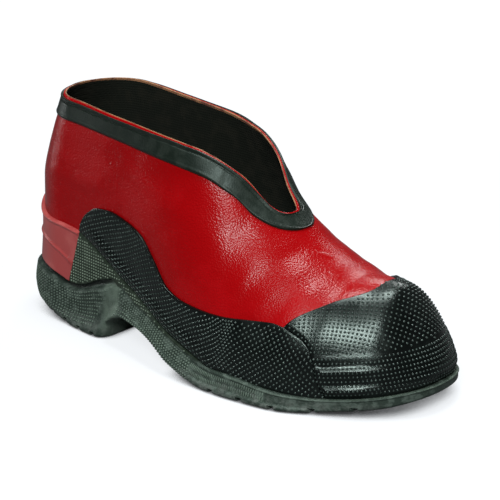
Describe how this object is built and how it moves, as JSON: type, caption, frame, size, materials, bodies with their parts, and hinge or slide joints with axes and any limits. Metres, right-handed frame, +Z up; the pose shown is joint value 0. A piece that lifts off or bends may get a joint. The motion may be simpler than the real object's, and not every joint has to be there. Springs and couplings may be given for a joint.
{
  "type": "dielectric overshoe",
  "caption": "Insulating rubber overshoe for the right foot: hollow low upper, bound collar, dotted side bands and toe cap, heeled sole; pulled on over a work shoe",
  "frame": {"origin": "On the ground under the middle of the sole's length and width", "axes": "+X from heel to toe, +Y to the left of the foot (the inner side of this right shoe), +Z up"},
  "size_m": [0.3082, 0.1246, 0.146],
  "materials": {
    "red_rubber": "glossy, fine leather-like grain",
    "stay_rubber": "glossy, smooth",
    "dotted_rubber": "semi-gloss, raised dots",
    "knurled_rubber": "satin, fine square knurl",
    "sole_rubber": "matt, moulded ribs and lugs",
    "binding_rubber": "satin, smooth",
    "lining_fabric": "matt knit"
  },
  "bodies": {
    "root": {"upper": "red_rubber", "outsole": "sole_rubber", "insole": "lining_fabric", "foxing_right": "dotted_rubber", "foxing_left": "dotted_rubber", "shank_panel_right": "knurled_rubber", "shank_panel_left": "knurled_rubber", "toe_cap": "dotted_rubber", "heel_stay": "stay_rubber", "collar_binding": "binding_rubber"}
  },
  "joints": []
}
